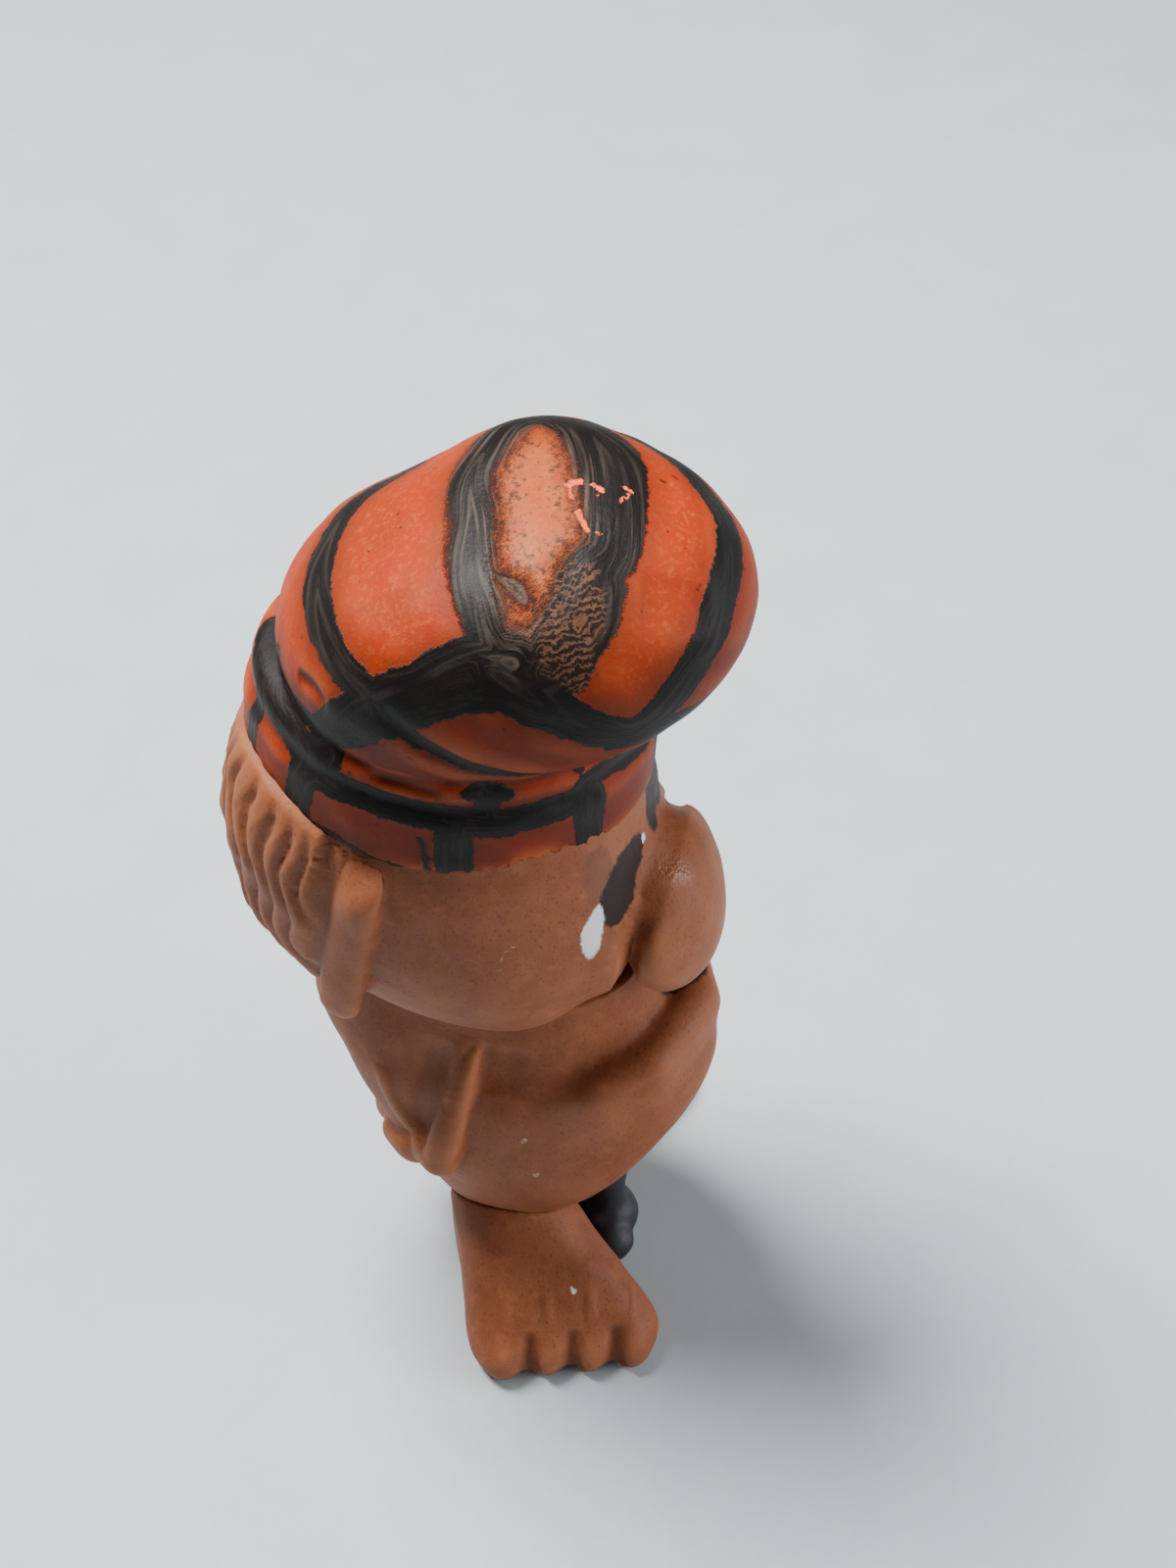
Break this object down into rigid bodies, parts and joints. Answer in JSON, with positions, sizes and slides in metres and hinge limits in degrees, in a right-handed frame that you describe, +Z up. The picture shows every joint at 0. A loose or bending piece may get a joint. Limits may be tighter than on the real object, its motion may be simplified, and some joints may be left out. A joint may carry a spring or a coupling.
{
  "type": "aquarium bubbling ornament",
  "caption": "Small hollow vinyl gnome figure with a checked tam, a turning head and an air inlet between its feet, which stands in a tank and lets out bubbles.",
  "frame": {"origin": "on the standing plane, under the middle of the figure's bounding box", "axes": "+Z up, the figure faces -Y, its right side is -X"},
  "size_m": [0.0406, 0.0405, 0.084],
  "materials": {
    "tam_vinyl": "satin orange vinyl with brushed black checks",
    "skin_vinyl": "satin brown soft vinyl",
    "neck_vinyl": "satin brown vinyl",
    "bush_nylon": "matte",
    "black_rubber": "satin black rubber",
    "clear_tube": "cloudy soft tube",
    "air_stone": "porous",
    "steel": "turned"
  },
  "bodies": {
    "figure": {"body": "skin_vinyl", "right_foot": "skin_vinyl", "left_foot": "skin_vinyl", "neck_plug": "neck_vinyl", "air_inlet": "black_rubber", "air_tube": "clear_tube", "diffuser": "air_stone", "ballast": "steel"},
    "head": {"head": "skin_vinyl", "cap": "tam_vinyl", "neck_bush": "bush_nylon"}
  },
  "joints": [
    {"name": "head_swivel", "type": "hinge", "parent": "figure", "child": "head", "pos_m": [0, 0, 0.038], "axis": [0, 0, 1], "continuous": true}
  ]
}
